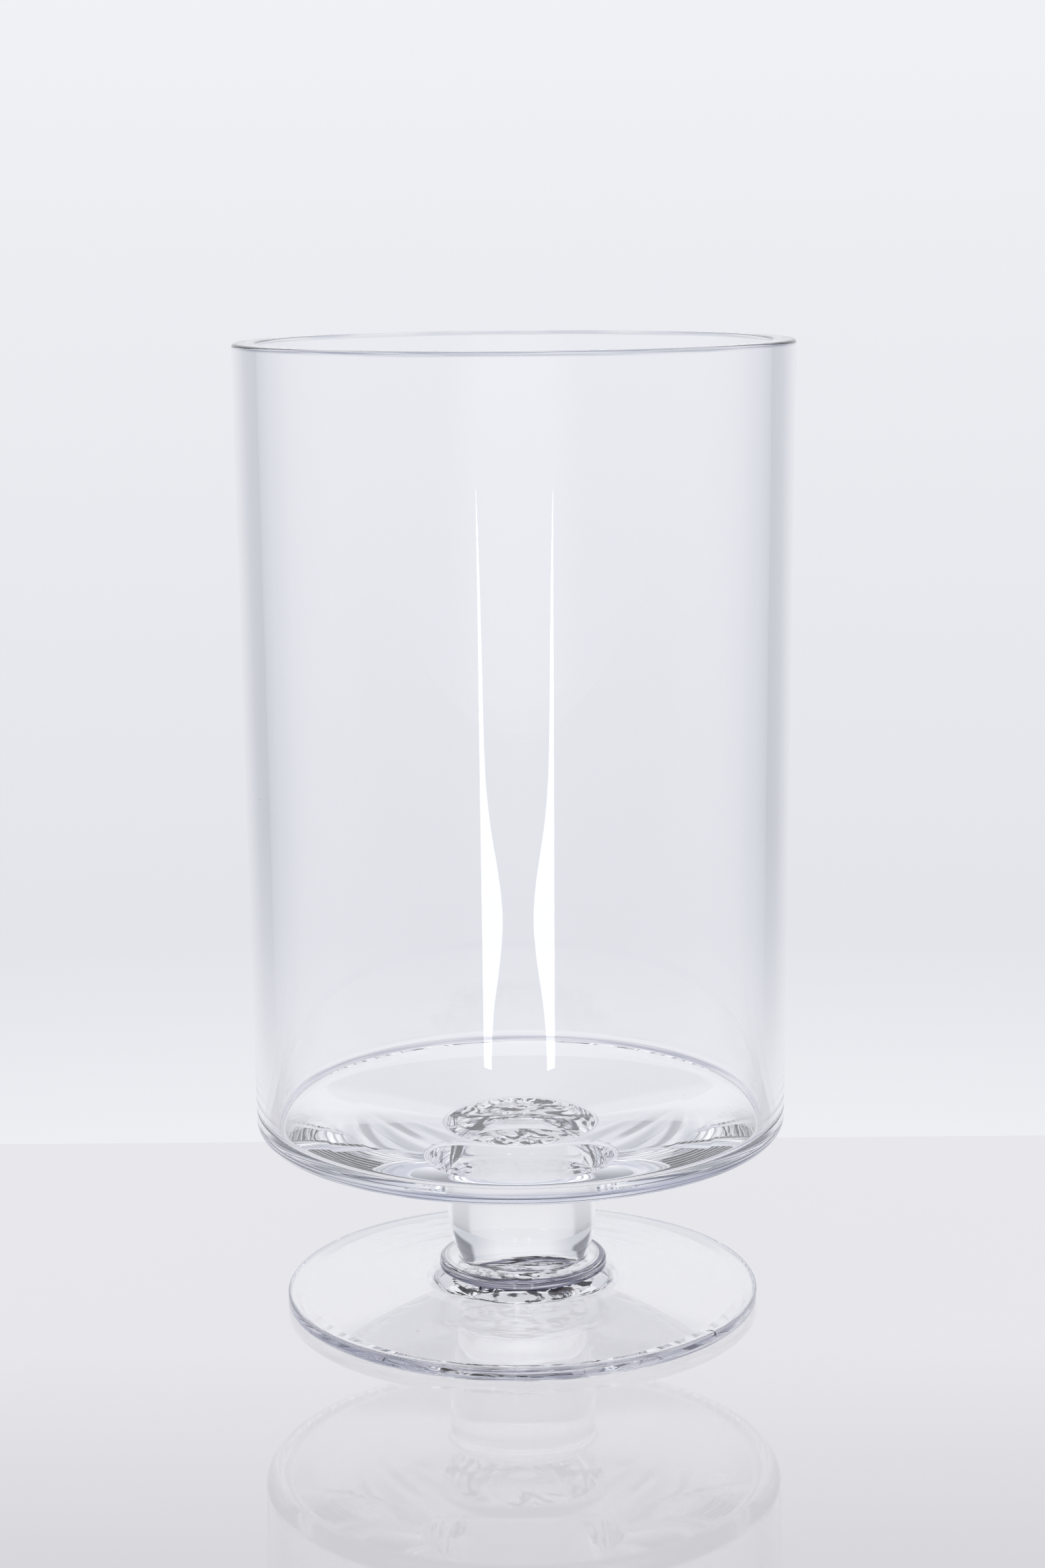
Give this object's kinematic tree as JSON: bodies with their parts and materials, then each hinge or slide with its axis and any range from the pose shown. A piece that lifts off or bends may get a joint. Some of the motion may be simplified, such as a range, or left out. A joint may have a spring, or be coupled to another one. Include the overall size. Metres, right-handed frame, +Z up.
{
  "type": "footed cylinder vase",
  "caption": "Clear glass vase: an open straight-walled bowl on a short solid stem, a bead collar and a wide disc foot.",
  "frame": {"origin": "centre of the underside of the foot, on the surface the vase stands on", "axes": "+Z up along the vase's axis of revolution; X and Y are equivalent"},
  "size_m": [0.15, 0.15, 0.267],
  "materials": {
    "bowl_glass": "clear, fire polished",
    "stem_glass": "clear, fire polished",
    "collar_glass": "clear, fire polished",
    "foot_glass": "clear, fire polished"
  },
  "bodies": {
    "root": {"bowl": "bowl_glass", "stem": "stem_glass", "collar": "collar_glass", "foot": "foot_glass"}
  },
  "joints": []
}
